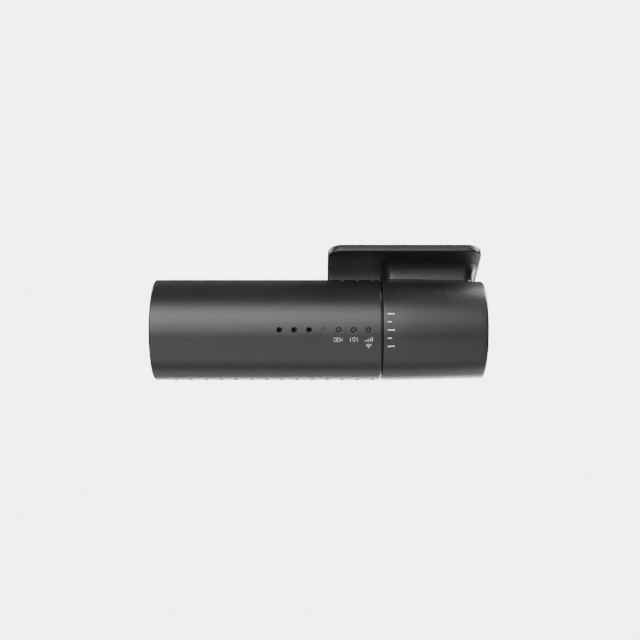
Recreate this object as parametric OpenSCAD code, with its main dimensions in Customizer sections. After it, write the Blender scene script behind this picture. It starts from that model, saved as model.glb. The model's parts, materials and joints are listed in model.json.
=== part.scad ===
// Tube-shaped dash camera in its windshield bracket. Units are millimetres.
// Parts are drawn along the tube's axis: X runs along it with 0 at the seam between camera and
// sleeve, Y points forwards out through the windshield, Z is up. at_face() then moves them so that
// the origin is the middle of the adhesive face.

/* [Camera] */
// Outside diameter of the camera tube and of the sleeve's mouth
tube_diameter = 36; // [36:0.5:46]
// Length of the camera tube, from its open end to the seam
body_length = 80; // [80:1:110]
// Wall of the camera tube
tube_wall = 1.8; // [1.4:0.1:2.2]
// Width of the gap between the tube and the sleeve
seam = 0.6; // [0.6:0.1:1.2]
// Width of one cooling slot
slot_width = 2.7; // [1.5:0.1:3.6]
// Distance from one cooling slot to the next
slot_pitch = 5.37; // [4.8:0.01:6]
// Number of cooling slots in a row
slot_count = 14; // [6:1:14]
// Diameter of the speaker holes and the light windows
dot_diameter = 1.7; // [1.2:0.1:2.2]
// Distance from one hole of the row to the next
dot_pitch = 5.1; // [4.8:0.1:5.4]

/* [Bracket] */
// Length of the sleeve, with its closed end
sleeve_length = 36.2; // [34:0.2:46]
// Wall of the sleeve at its mouth
sleeve_wall = 2.25; // [2.1:0.05:2.5]
// How much smaller the sleeve's radius is at its closed end
sleeve_taper = 0.6; // [0.2:0.1:0.8]
// Width of the windshield plate, along the tube
plate_width = 54.5; // [44:0.5:66]
// Depth of the windshield plate, down the slope of the glass
plate_depth = 36; // [30:1:44]
// Thickness of the windshield plate
plate_thickness = 2.7; // [2:0.1:4]
// Slope of the plate, to suit a raked windshield
plate_tilt = 28; // [20:1:34]
// Gap between the plate and the tube
plate_gap = 2.4; // [1.5:0.1:4]
// Thickness of the adhesive pad
pad_thickness = 1; // [0.6:0.1:2]
// Travel of the release button
release_travel = 1.2; // [0.8:0.1:1.2]

/* [Cards and jacks] */
// Bore of the rear-camera jack
rear_jack_bore = 3.6; // [3.5:0.05:3.8]
// Bore of the supply jack
supply_jack_bore = 5.7; // [5.6:0.1:6.2]
// Diameter of the supply jack's pin
supply_pin = 2; // [1.3:0.1:2.5]
// Gap between a card and its slot, on each side
card_gap = 0.3; // [0.3:0.05:0.5]
// Travel of the function button
function_travel = 0.5; // [0.3:0.1:0.6]

/* [Fits] */
// Radial gap of a running fit
running_gap = 0.07; // [0.03:0.01:0.1]
// Gap between parts that move past each other freely
free_gap = 0.3; // [0.3:0.05:0.4]

/* [Hidden] */
$fn = 96;
e = 0.01;

R = tube_diameter / 2;
// how much larger the tube is than the 36 mm one that the inner parts were laid out for
grow = R - 18;
// how much thicker the tube's wall is than the 1.8 mm one that they were laid out for
thicker = tube_wall - 1.8;
bore = R - tube_wall;
x_left = -seam / 2 - body_length;
x_tube_end = -seam / 2;
x_mouth = seam / 2;
x_end = x_mouth + sleeve_length;
R_end = R - sleeve_taper;
x_lens = x_left + body_length / 2;
rim = 0.6;

// the row of holes: three for the speaker, one blank ring, three lights
x_last_light = -4.8;
x_row = [for (i = [0:6]) x_last_light - (6 - i) * dot_pitch];
// the cooling slots
x_last_slot = -2.86;
// each slot is a pair with a spine between: how far from the middle it starts and ends
slot_from = R * sin(2.87);
slot_to = R * sin(16.13);

// the plate: a plane square to the direction tilted forwards by plate_tilt
plate_low = R + plate_gap;
plate_back = -(R + 2.9);
face_height = plate_low + plate_thickness + pad_thickness;
face_along = plate_back + plate_depth / 2;
pad_inset = 2.5;
x_plate = x_mouth + 1.2 - 20.3 + plate_width / 2;
face_y = face_height * sin(plate_tilt) + face_along * cos(plate_tilt);
face_z = face_height * cos(plate_tilt) - face_along * sin(plate_tilt);

// inside the sleeve, from its closed end towards its mouth
end_wall = 2;
x_wall = x_end - end_wall;
sleeve_bore = R - sleeve_wall;
x_flange = x_wall - free_gap - 1.2;
x_plate_right = x_flange - release_travel - 1;
x_plate_left = x_plate_right - 1.4;
x_ring_right = x_plate_left - 2.2;
x_ring_left = x_ring_right - 5.4;
x_washer = x_ring_left - free_gap;
x_spigot_end = x_ring_left - 2.6;
x_bearing_end = x_spigot_end - 3.6;
leaf_top = sleeve_bore - 0.6;
leaf_thickness = 0.35;
leaf_bottom = leaf_top + leaf_thickness;
ring_radius = sleeve_bore - 2.35;
hub_radius = 8.42;
dog_in = 10.4;
dog_out = ring_radius - 1.3;
dog_angle = 40;
boss_yz = [[-8.5, 11.6], [8.5, 11.6], [-7.5, -12.4], [7.5, -12.4]];
boss_reach = (sleeve_bore - 1.6) / 14.5;
button_mid = -4.5;
button_half = [10, 3.8];

// the camera's inner parts
x_board = x_left + 4.3;
board_y = -7;
board_half = 12;
cap_thick = 2.4;
x_cap = x_left + 0.3;
x_cap_in = x_cap + cap_thick;
cap_boss = (bore - 1.9) * 0.707;
y_lens = grow;
sensor_screw_z = 8.4;
memory_y = -4.6;
memory_z = 1.5;
sim_y = -10.12;
sim_z = 0.8;
button_y = -3.6;
button_z = -6.5;
supply_yz = [6.5, -6.2];
rear_yz = [6.7, 3.8];

// ---- helpers ----

module at_face() {
    translate([-x_plate, -face_y, -face_z]) children();
}

// turned about the tube's axis; points are [radius, x]
module turned(points, a = 360, start = 0) {
    rotate([0, 90, 0])
        rotate([0, 0, start])
            rotate_extrude(angle = a) polygon(points);
}

// turned about the lens's axis, which runs along Y; points are [radius, y]
module turned_y(points) {
    translate([x_lens, y_lens, 0])
        rotate([-90, 0, 0])
            rotate_extrude() polygon(points);
}

module rod_x(r, x0, x1, y = 0, z = 0) {
    translate([x0, y, z]) rotate([0, 90, 0]) cylinder(r = r, h = x1 - x0);
}

module rod_y(r, y0, y1, x = 0, z = 0) {
    translate([x, y0, z]) rotate([-90, 0, 0]) cylinder(r = r, h = y1 - y0);
}

module block(x0, x1, y0, y1, z0, z1) {
    translate([x0, y0, z0]) cube([x1 - x0, y1 - y0, z1 - z0]);
}

// a rectangle with round corners
module round_rect(w, h, r) {
    if (w > 2 * r) square([w - 2 * r, h], center = true);
    if (h > 2 * r) square([w, h - 2 * r], center = true);
    for (sx = [-1, 1], sy = [-1, 1])
        translate([sx * (w / 2 - r), sy * (h / 2 - r)]) circle(r = r);
}

// a round-cornered bar along X, w wide in Y and h high in Z
module bar_x(x0, x1, w, h, r, y = 0, z = 0) {
    translate([x0, y, z])
        rotate([90, 0, 90])
            linear_extrude(height = x1 - x0) round_rect(w, h, r);
}

// a piece of ring about the tube's axis, middle at angle a from straight up towards the front
module arc_x(r_in, r_out, x0, x1, a, wide) {
    rotate([-a, 0, 0])
        rotate([0, 90, 0])
            rotate([0, 0, 180 - wide / 2])
                rotate_extrude(angle = wide) translate([r_in, x0]) square([r_out - r_in, x1 - x0]);
}

// a coil spring along X: half turns of wire, each tilted by half of its rise
module coil_x(r, wire, x0, x1, turns, y = 0, z = 0) {
    halves = 2 * turns;
    rise = (x1 - x0 - 2 * wire) / halves;
    lean = asin(rise / (2 * r));
    translate([x0 + wire, y, z])
        rotate([0, 90, 0])
            for (i = [0:halves - 1])
                translate([0, 0, (i + 0.5) * rise])
                    rotate([0, 0, 180 * (i % 2)])
                        rotate([0, lean, 0])
                            rotate_extrude(angle = 180) translate([r, 0]) circle(r = wire, $fn = 24);
}

// ---- bracket ----

module plate_place(h) {
    translate([x_plate, 0, 0])
        rotate([-plate_tilt, 0, 0])
            translate([0, face_along, h]) children();
}

module bracket_shell() {
    color("#2c2c2c") at_face() difference() {
        union() {
            // sleeve
            turned([[0, x_mouth], [R - 0.25, x_mouth], [R, x_mouth + 0.25], [R, x_mouth + 8],
                [R_end, x_end - rim], [R_end - 0.08, x_end - 0.3], [R_end - 0.3, x_end - 0.08],
                [R_end - rim, x_end], [0, x_end]]);
            // neck
            intersection() {
                translate([x_mouth + 17.3, 8, 2])
                    linear_extrude(height = 40) round_rect(31.8, 16, 3.2);
                rotate([-plate_tilt, 0, 0])
                    translate([0, -60, plate_low + 0.5 - 80]) cube([80, 120, 80]);
            }
            // plate
            plate_place(plate_low)
                linear_extrude(height = plate_thickness) round_rect(plate_width, plate_depth, 5);
        }
        difference() {
            rod_x(sleeve_bore, x_mouth - 1, x_wall);
            for (p = boss_yz)
                rod_x(2.3, x_plate_right, x_wall + 1, p[0] * boss_reach, p[1] * boss_reach);
        }
        for (p = boss_yz)
            rod_x(0.75, x_plate_right - 1, x_plate_right + 3.2, p[0] * boss_reach, p[1] * boss_reach);
        // channel that the latch spring bends down into
        block(x_bearing_end - 0.3, x_plate_right - 6, -4.1, 4.1, -leaf_bottom - 1.1, -10);
        block(x_plate_right - 6.1, x_plate_right - 1.8, -4.1, 4.1, -leaf_bottom - 0.4, -10);
        block(x_plate_right - 1.9, x_wall, -4.1, 4.1, -leaf_bottom, -10);
        // opening for the release button
        bar_x(x_wall - 1, x_end + 1, 2 * (button_half[0] + free_gap), 2 * (button_half[1] + free_gap),
            2.5 + free_gap, 0, button_mid);
    }
}

module adhesive_pad() {
    color("#3a3a3a") at_face()
        plate_place(plate_low + plate_thickness)
            linear_extrude(height = pad_thickness)
                round_rect(plate_width - 2 * pad_inset, plate_depth - 2 * pad_inset, 3);
}

module latch_plate() {
    color("#46464a") at_face() difference() {
        union() {
            turned([[0, x_ring_left - 0.3], [hub_radius, x_ring_left - 0.3],
                [hub_radius, x_ring_right + free_gap], [10, x_ring_right + free_gap],
                [10, x_plate_left], [sleeve_bore - 0.1, x_plate_left],
                [sleeve_bore - 0.1, x_plate_right], [0, x_plate_right]]);
            rod_x(1.2, x_plate_right - e, x_plate_right + 1, 0, button_mid);
        }
        rod_x(1, x_ring_left - 1, x_ring_left + 5);
        for (p = boss_yz)
            rod_x(1.1, x_plate_left - 1, x_plate_right + 1, p[0] * boss_reach, p[1] * boss_reach);
        block(x_plate_left - 1, x_plate_right + 1, -4.2, 4.2, -R, -leaf_top);
        block(x_plate_left - 3, x_plate_right + 1, -1.8 - free_gap, 1.8 + free_gap, -R,
            -leaf_top + 1.3 + 0.35);
    }
}

module latch_screws() {
    color("#9a9a9a") at_face() for (p = boss_yz) translate([0, p[0] * boss_reach, p[1] * boss_reach])
        difference() {
            union() {
                rod_x(1.3, x_plate_left - 1.1, x_plate_left);
                rod_x(0.75, x_plate_left - e, x_plate_right + 3);
            }
            bar_x(x_plate_left - 2, x_plate_left - 0.6, 1.7, 0.4, 0.1);
            bar_x(x_plate_left - 2, x_plate_left - 0.6, 0.4, 1.7, 0.1);
        }
}

module latch_spring() {
    x0 = x_bearing_end + 0.3;
    xr = x_plate_right - 9.1;
    color("#b0b0b4") at_face()
        translate([0, 3.8, 0])
            rotate([90, 0, 0])
                linear_extrude(height = 7.6)
                    polygon([[x0, -leaf_bottom], [x_wall - 0.3, -leaf_bottom], [x_wall - 0.3, -leaf_top],
                        [xr + 2.1, -leaf_top], [xr + 0.9, -leaf_top + 1.2], [xr + 0.6, -leaf_top + 1.2],
                        [xr, -leaf_top], [x0 + 1.7, -leaf_top], [x0 + 1.7, -leaf_top + 1.05],
                        [x0 + 1.15, -leaf_top + 1.05], [x0, -leaf_top]]);
}

module click_spring() {
    z0 = ring_radius + 0.8;
    color("#b0b0b4") at_face() union() {
        block(x_ring_left + 0.7, x_plate_left, -2.5, 2.5, z0, z0 + 0.3);
        block(x_plate_left - 0.35, x_plate_left, -2.5, 2.5, 10.2, z0 + 0.3);
        rod_x(0.55, x_ring_left + 1.2, x_ring_left + 4.2, 0, z0 - 0.45);
    }
}

module hub_washer() {
    color("#b8b8b8") at_face() difference() {
        rod_x(9.9, x_washer - 0.6, x_washer);
        rod_x(1.2, x_washer - 1, x_washer + 1);
    }
}

module hub_screw() {
    color("#9a9a9a") at_face() difference() {
        union() {
            rod_x(2, x_washer - 1.6, x_washer - 0.6);
            rod_x(0.98, x_washer - 0.6 - e, x_ring_left + 4.5);
        }
        bar_x(x_washer - 2, x_washer - 1.1, 2.4, 0.5, 0.1);
        bar_x(x_washer - 2, x_washer - 1.1, 0.5, 2.4, 0.1);
    }
}

module release_button() {
    x_tip = x_plate_right - 6.8;
    f = -leaf_top + free_gap;
    color("#303032") at_face() difference() {
        union() {
            bar_x(x_flange, x_end + 0.8, 2 * button_half[0], 2 * button_half[1], 2.5, 0, button_mid);
            bar_x(x_flange, x_end + 1.1, 2 * button_half[0] - 0.6, 2 * button_half[1] - 0.6, 2.2, 0,
                button_mid);
            bar_x(x_flange, x_flange + 1.2, 2 * button_half[0] + 1.6, 2 * button_half[1] + 1.6, 3, 0,
                button_mid);
            block(x_flange - 0.9, x_flange + 1.2, -1.8, 1.8, f, -8.5);
            translate([0, 1.8, 0])
                rotate([90, 0, 0])
                    linear_extrude(height = 3.6)
                        polygon([[x_tip, f + 0.45], [x_tip + 0.45, f], [x_flange, f],
                            [x_flange, f + 1], [x_tip, f + 1]]);
        }
        rod_x(2.5, x_flange - 2, x_flange + 2.3, 0, button_mid);
    }
}

module release_spring() {
    color("#c0c0c4") at_face()
        coil_x(1.85, 0.22, x_plate_right + 0.02, x_flange + 2.28, 4, 0, button_mid);
}

// turns with the camera: its slots take the spigot's dogs, its notches take the click spring
module index_ring() {
    color("#55555a") at_face() difference() {
        rod_x(ring_radius, x_ring_left, x_ring_right);
        rod_x(hub_radius + running_gap, x_ring_left - 1, x_ring_right + 1);
        for (a = [0, 120, 240])
            arc_x(dog_in - free_gap, dog_out + free_gap, x_ring_left - 1, x_ring_right + 1, a,
                dog_angle + 3.2);
        for (i = [-5:5]) rotate([i * 9, 0, 0])
            rod_x(0.7, x_ring_left - 1, x_ring_right + 1, 0, ring_radius + 0.15);
    }
}

// ---- camera ----

module slots() {
    for (i = [0:slot_count - 1], s = [-1, 1], side = [-1, 1])
        translate([x_last_slot - i * slot_pitch, side * (slot_from + slot_to) / 2,
            s > 0 ? bore - 1.5 : -R - 1])
            linear_extrude(height = tube_wall + 2.5)
                square([slot_width, slot_to - slot_from], center = true);
}

module camera_tube() {
    color("#2c2c2c") at_face() difference() {
        turned([[bore, x_left], [R - rim, x_left], [R - 0.3, x_left + 0.08], [R - 0.08, x_left + 0.3],
            [R, x_left + rim], [R, x_tube_end - 0.3], [R - 0.3, x_tube_end], [bore, x_tube_end]]);
        slots();
        for (i = [0, 1, 2, 4, 5, 6]) rod_y(dot_diameter / 2, -R - 1, -bore + 1.5, x_row[i]);
        difference() {
            rod_y(dot_diameter / 2, -R - 1, -R + 0.2, x_row[3]);
            rod_y(dot_diameter / 2 - 0.14, -R - 2, -R + 1, x_row[3]);
        }
        rod_y(10.5, 5, R + 2, x_lens);
        rod_y(1.5, 5, R + 2, x_lens - 13.9);
    }
    color("#2c2c2c") at_face() for (s = [-1, 1]) difference() {
        intersection() {
            rod_x(2, x_cap_in, x_cap_in + 7.5, s * cap_boss, s * cap_boss);
            rod_x(bore + 0.5, x_cap_in - 1, x_cap_in + 9);
        }
        rod_x(0.8, x_cap_in - 1, x_cap_in + 5.5, s * cap_boss, s * cap_boss);
    }
}

module spigot() {
    r = sleeve_bore - running_gap;
    color("#333336") at_face() union() {
        turned([[0, 12], [0, 13.5], [dog_in, 13.5], [dog_in, x_spigot_end],
            [leaf_top - 0.85, x_spigot_end], [leaf_top - 0.35, x_spigot_end - 0.5],
            [leaf_top - 0.35, x_spigot_end - 1.2], [leaf_top - 1.45, x_spigot_end - 1.2],
            [leaf_top - 1.45, x_bearing_end], [r, x_bearing_end], [r, 6.2], [r - 1.08, 6.2],
            [r - 1.08, 4], [r, 4], [r, x_tube_end], [bore - 0.05, x_tube_end],
            [bore - 0.05, x_tube_end - 1.2], [r - 2.48, x_tube_end - 1.2], [r - 2.48, 12]]);
        for (a = [0, 120, 240])
            arc_x(dog_in + 0.1, dog_out, x_spigot_end - 0.5, x_ring_right - 0.6, a, dog_angle);
        for (a = [45, 135, 225, 315])
            arc_x(bore - 1.8, bore - 0.15, x_tube_end - 6, x_tube_end - 0.6, a, 16);
    }
}

module friction_ring() {
    r = sleeve_bore - running_gap - 1.08;
    color("#1c1c1c") at_face()
        turned_ring(r + 0.55, 0.52, 5.1);
}

module turned_ring(r, section, x) {
    translate([x, 0, 0])
        rotate([0, 90, 0])
            rotate_extrude() translate([r, 0]) circle(r = section, $fn = 32);
}

module port_cap() {
    color("#2a2a2c") at_face() difference() {
        turned([[0, x_cap], [bore - 0.35, x_cap], [bore - 0.05, x_cap + 0.3], [bore - 0.05, x_cap_in],
            [0, x_cap_in]]);
        rod_x(3.8, x_cap - 1, x_cap_in + 1, supply_yz[0], supply_yz[1]);
        rod_x(3.1, x_cap - 1, x_cap_in + 1, rear_yz[0], rear_yz[1]);
        bar_x(x_cap - 1, x_cap_in + 1, 3 + 2 * free_gap, 7 + 2 * free_gap, 1.5 + free_gap, button_y,
            button_z);
        block(x_cap - 1, x_cap_in + 1, memory_y - card_gap, memory_y + 1 + card_gap,
            memory_z - card_gap, memory_z + 11 + card_gap);
        block(x_cap - 1, x_cap_in + 1, sim_y - card_gap, sim_y + 0.67 + card_gap, sim_z - card_gap,
            sim_z + 8.8 + card_gap);
        for (s = [-1, 1]) {
            rod_x(1, x_cap - 1, x_cap_in + 1, s * cap_boss, s * cap_boss);
            rod_x(1.9, x_cap - 1, x_cap + 1.2, s * cap_boss, s * cap_boss);
        }
    }
}

module cap_screws() {
    color("#5a5a5c") at_face() for (s = [-1, 1]) translate([0, s * cap_boss, s * cap_boss])
        difference() {
            union() {
                rod_x(1.7, x_cap + 0.2, x_cap + 1.2);
                rod_x(0.8, x_cap + 1.2 - e, x_cap_in + 5);
            }
            bar_x(x_cap - 1, x_cap + 0.7, 2, 0.45, 0.1);
            bar_x(x_cap - 1, x_cap + 0.7, 0.45, 2, 0.1);
        }
}

module chassis() {
    xa = x_left + 16.8;
    xb = -3.2;
    color("#3c3c40") at_face() difference() {
        union() {
            for (s = [0, 1]) mirror([0, 0, s]) {
                difference() {
                    block(xa, xb, -8.4, -2.4, 11.2, 13.4 - 1.2 * thicker);
                    block(xa - 1, xb + 1, board_y - 0.05, board_y + 1.05, 11, 12.05);
                }
                block(xa, xa + 1.2, -5.7, -2.4, -e, 11.2 + e);
                block(xb - 1.2, xb, -5.7, -2.4, -e, 11.2 + e);
            }
            difference() {
                block(x_lens - 13.7, x_lens + 13.7, -3.6, -2.4, -11.2 - e, 11.2 + e);
                block(x_lens - 5.7, x_lens + 5.7, -4, -2, -6, 6);
            }
            for (x = [x_lens - 11.7, x_lens + 11.3], s = [-1, 1])
                rod_y(1.5, board_y + 1, -3.5, x, s * 9.7);
            for (x = [x_lens - 8, x_lens + 8], s = [-1, 1])
                rod_y(1.6, -2.5, -1.8, x, s * sensor_screw_z);
            block(-24, -8, -2.4, 8, 6.2, 7.4);
            block(-24, -22.8, -4, -2.4 + e, 6.2, 11.2 + e);
            block(-9.2, -8, -4, -2.4 + e, 6.2, 11.2 + e);
            block(-24, -8, -4, -2.3, 6.2, 7.4);
        }
        for (x = [x_lens - 11.7, x_lens + 11.3], s = [-1, 1])
            rod_y(0.7, board_y, -2.9, x, s * 9.7);
        for (x = [x_lens - 8, x_lens + 8], s = [-1, 1])
            rod_y(0.7, -3.3, -1, x, s * sensor_screw_z);
    }
}

module main_board() {
    color("#1f3d2c") at_face() difference() {
        block(x_board, -3.2, board_y, board_y + 1, -board_half, board_half);
        for (x = [x_lens - 11.7, x_lens + 11.3], s = [-1, 1])
            rod_y(0.9, board_y - 1, board_y + 2, x, s * 9.7);
    }
}

module board_screws() {
    color("#9a9a9a") at_face() for (x = [x_lens - 11.7, x_lens + 11.3], s = [-1, 1]) {
        rod_y(1.4, board_y - 1, board_y, x, s * 9.7);
        rod_y(0.7, board_y - e, -3, x, s * 9.7);
    }
}

module processor() {
    color("#222226") at_face() block(-23, -9, board_y + 1, board_y + 2.4, -9, 5);
}

module thermal_pad() {
    color("#8c9aa8") at_face() block(-23, -9, board_y + 2.4, board_y + 3.2, -9, 5);
}

module heat_sink() {
    color("#a8a8ac") at_face() union() {
        block(-25, -7, board_y + 3.2, -2, -10.5, 5.5);
        for (i = [0:5]) block(-25, -7, -2 - e, 9, -10.5 + i * 2.8, -9.5 + i * 2.8);
    }
}

module radio_module() {
    color("#9c9ca0") at_face() union() {
        block(x_lens - 20.7, x_lens - 4.7, board_y - 0.8, board_y, -8, 8);
        block(x_lens - 20.2, x_lens - 5.2, board_y - 2.6, board_y - 0.8 + e, -7.5, 7.5);
    }
}

module antenna_board() {
    color("#1f3d2c") at_face() block(-24, -9, -2, 9, 7.4, 8.2);
}

module antenna_patch() {
    color("#c8b89a") at_face() union() {
        block(-22.5, -10.5, -2, 8.7, 8.2, 11.8);
        block(-21, -12, -1.2, 7.4, 11.8 - e, 11.9);
    }
}

module storage_capacitors() {
    color("#2a2d3a") at_face() for (s = [-1, 1]) {
        rod_x(4.4, x_left + 14.6, x_left + 23.8, 6, s * 6.2);
        rod_x(0.4, x_left + 23.8 - e, x_left + 24.6, 6, s * 6.2 + 1.5);
        rod_x(0.4, x_left + 23.8 - e, x_left + 24.6, 6, s * 6.2 - 1.5);
    }
}

module memory_socket() {
    g = card_gap;
    color("#b4b4b8") at_face() difference() {
        block(x_board - 0.6, x_board + 11.7, board_y + 1, memory_y + 1 + g + 0.3, memory_z - 1,
            memory_z + 12);
        block(x_board - 2, x_board + 11.3, memory_y - g, memory_y + 1 + g, memory_z - g,
            memory_z + 11 + g);
    }
}

module sim_socket() {
    g = card_gap;
    color("#b4b4b8") at_face() difference() {
        block(x_board - 0.6, x_board + 9, sim_y - g - 0.4, board_y, sim_z - 0.7, sim_z + 9.5);
        block(x_board - 2, x_board + 8.6, sim_y - g, sim_y + 0.67 + g, sim_z - g, sim_z + 8.8 + g);
    }
}

module supply_jack() {
    color("#1e1e20") at_face() difference() {
        union() {
            bar_x(x_cap_in, x_cap_in + 9, 8.4, 8.4, 0.5, supply_yz[0], supply_yz[1]);
            rod_x(3.6, x_cap + 0.3, x_cap_in + e, supply_yz[0], supply_yz[1]);
        }
        rod_x(supply_jack_bore / 2, x_cap - 1, x_cap_in + 7.6, supply_yz[0], supply_yz[1]);
    }
}

module supply_jack_pin() {
    color("#c9b26a") at_face() union() {
        rod_x(supply_pin / 2, x_cap + 1.3, x_cap_in + 7.6, supply_yz[0], supply_yz[1]);
        translate([x_cap + 1.3, supply_yz[0], supply_yz[1]]) sphere(r = supply_pin / 2);
    }
}

module rear_camera_jack() {
    color("#1e1e20") at_face() difference() {
        union() {
            bar_x(x_cap_in, x_cap_in + 11.6, 6.4, 6.4, 0.5, rear_yz[0], rear_yz[1]);
            rod_x(2.9, x_cap + 0.3, x_cap_in + e, rear_yz[0], rear_yz[1]);
        }
        rod_x(rear_jack_bore / 2, x_cap - 1, x_cap_in + 10.1, rear_yz[0], rear_yz[1]);
    }
}

module function_switch() {
    color("#8e8e92") at_face() union() {
        block(x_left + 5.9, x_left + 8.9, board_y + 1, -2.6, button_z - 2.9, button_z + 2.9);
        rod_x(0.9, x_left + 4.6 + function_travel, x_left + 5.9 + e, button_y - 0.3, button_z);
    }
}

module button_dome() {
    color("#4a4a4e") at_face()
        rod_x(1.2, x_left + 3.9, x_left + 4.6 + function_travel, button_y - 0.3, button_z);
}

module light_pipes() {
    color("#d8d8d8") at_face() for (i = [4:6])
        rod_y(dot_diameter / 2 - 0.04, -R + 0.03, board_y - 1.1, x_row[i]);
}

module status_leds() {
    color("#e8e4c8") at_face() for (i = [4:6])
        block(x_row[i] - 0.8, x_row[i] + 0.8, board_y - 0.9, board_y, -0.8, 0.8);
}

module speaker_frame() {
    color("#262628") at_face() difference() {
        translate([x_row[1], -8.4, 0])
            rotate([90, 0, 0])
                linear_extrude(height = 4.2) round_rect(17, 11, 2.5);
        translate([x_row[1], -11, 0])
            rotate([90, 0, 0])
                linear_extrude(height = 3) round_rect(15, 9, 2);
    }
}

module speaker_cone() {
    color("#3a3630") at_face() difference() {
        translate([x_row[1], -11, 0])
            rotate([90, 0, 0])
                linear_extrude(height = 0.9) round_rect(14.9, 8.9, 1.95);
        translate([x_row[1], -11.4, 0])
            rotate([90, 0, 0])
                linear_extrude(height = 2) round_rect(9, 4.6, 2.2);
    }
}

module speaker_cloth() {
    color("#141414") at_face()
        arc_x(bore - 0.25, bore - 0.02, x_row[0] - 2.6, x_row[2] + 2.6, -90, 20);
}

module lens_bezel() {
    y = 10.6 - 1.5 * thicker;
    color("#1d1d1f") at_face()
        turned_y([[7.9, y - 1], [11.8, y - 1], [11.8, y], [10.3, y], [10.3, 18.3], [9.9, 18.7],
            [9.3, 18.7], [7.9, 16.6]]);
}

module lens_barrel() {
    color("#18181a") at_face()
        turned_y([[4.7, 1.2], [6, 1.2], [6, 12.5], [7.4, 12.5], [7.4, 17], [6.4, 17], [6.4, 14.5],
            [4.7, 13]]);
}

module front_lens() {
    rad = (6.3 * 6.3 + 2.6 * 2.6) / (2 * 2.6);
    color("#6a7a90") at_face()
        translate([0, y_lens, 0])
            intersection() {
                rod_y(6.3, 14.5, 19, x_lens);
                translate([x_lens, 18.4 - rad, 0]) sphere(r = rad);
            }
}

module rear_lens() {
    color("#6a7a90") at_face()
        translate([0, y_lens, 0])
            intersection() {
                rod_y(4.6, 3, 7, x_lens);
                translate([x_lens, 16, 0]) sphere(r = 13);
                translate([x_lens, -6, 0]) sphere(r = 12.6);
            }
}

module lens_holder() {
    color("#222224") at_face() difference() {
        translate([0, y_lens, 0]) union() {
            block(x_lens - 9.5, x_lens + 9.5, -0.8 - grow, 0.8, -6.8, 6.8);
            rod_y(7.4, 0.8 - e, 7, x_lens);
        }
        translate([0, y_lens, 0]) rod_y(6.06, 0.6, 8, x_lens);
        block(x_lens - 5, x_lens + 5, -1, 0.7 + grow, -4, 4);
    }
}

module image_sensor() {
    color("#50586a") at_face() block(x_lens - 4.5, x_lens + 4.5, -0.8, 0.2, -3.5, 3.5);
}

module sensor_board() {
    color("#1f3d2c") at_face() difference() {
        block(x_lens - 15.5, x_lens + 9.7, -1.8, -0.8, -9.8, 9.8);
        for (x = [x_lens - 8, x_lens + 8], s = [-1, 1])
            rod_y(0.85, -3, 1, x, s * sensor_screw_z);
    }
}

module sensor_screws() {
    color("#9a9a9a") at_face() for (x = [x_lens - 8, x_lens + 8], s = [-1, 1]) {
        rod_y(0.7, -3.2, -0.8 + e, x, s * sensor_screw_z);
        rod_y(1.3, -0.8, 0, x, s * sensor_screw_z);
    }
}

module sensor_ribbon() {
    color("#b87a3c") at_face() union() {
        block(x_lens - 4, x_lens + 4, -2.6, -1.8, -1.5, 1.5);
        block(x_lens - 4, x_lens + 4, -5.2, -2.6 + e, -0.15, 0.15);
        block(x_lens - 4, x_lens + 4, board_y + 1, -5.2 + e, -1.5, 1.5);
    }
}

module front_light_window() {
    color("#cfcfd2") at_face() rod_y(1.42, 0.6, R - 0.08, x_lens - 13.9);
}

module front_led() {
    color("#e8e4c8") at_face()
        block(x_lens - 14.7, x_lens - 13.1, -0.8, 0.4, -0.8, 0.8);
}

// ---- cards and the function button ----

module memory_card() {
    color("#202024") at_face()
        translate([x_left + 0.2, memory_y + 1, memory_z + 5.5])
            rotate([90, 0, 0])
                linear_extrude(height = 1) difference() {
                    translate([7.5, 0]) round_rect(15, 11, 0.6);
                    translate([9, 4.2]) square([10, 5]);
                }
}

module sim_card() {
    color("#c8c8cc") at_face()
        translate([x_left + 0.2, sim_y + 0.67, sim_z + 4.4])
            rotate([90, 0, 0])
                linear_extrude(height = 0.67) translate([6.15, 0]) round_rect(12.3, 8.8, 0.9);
}

module function_button() {
    color("#303032") at_face() union() {
        bar_x(x_cap - 0.2, x_cap_in + 0.5, 3, 7, 1.5, button_y, button_z);
        bar_x(x_cap_in + free_gap, x_cap_in + free_gap + 0.8, 3.8, 8, 1.9, button_y, button_z);
    }
}

bracket_shell();
adhesive_pad();
latch_plate();
latch_screws();
latch_spring();
click_spring();
hub_washer();
hub_screw();
release_button();
release_spring();
index_ring();
camera_tube();
spigot();
friction_ring();
port_cap();
cap_screws();
chassis();
main_board();
board_screws();
processor();
thermal_pad();
heat_sink();
radio_module();
antenna_board();
antenna_patch();
storage_capacitors();
memory_socket();
sim_socket();
supply_jack();
supply_jack_pin();
rear_camera_jack();
function_switch();
button_dome();
light_pipes();
status_leds();
speaker_frame();
speaker_cone();
speaker_cloth();
lens_bezel();
lens_barrel();
front_lens();
rear_lens();
lens_holder();
image_sensor();
sensor_board();
sensor_screws();
sensor_ribbon();
front_light_window();
front_led();
memory_card();
sim_card();
function_button();
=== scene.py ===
"""Tube-shaped dash camera in its windshield bracket: skins, print, materials, light and camera."""

import json
import math

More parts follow.
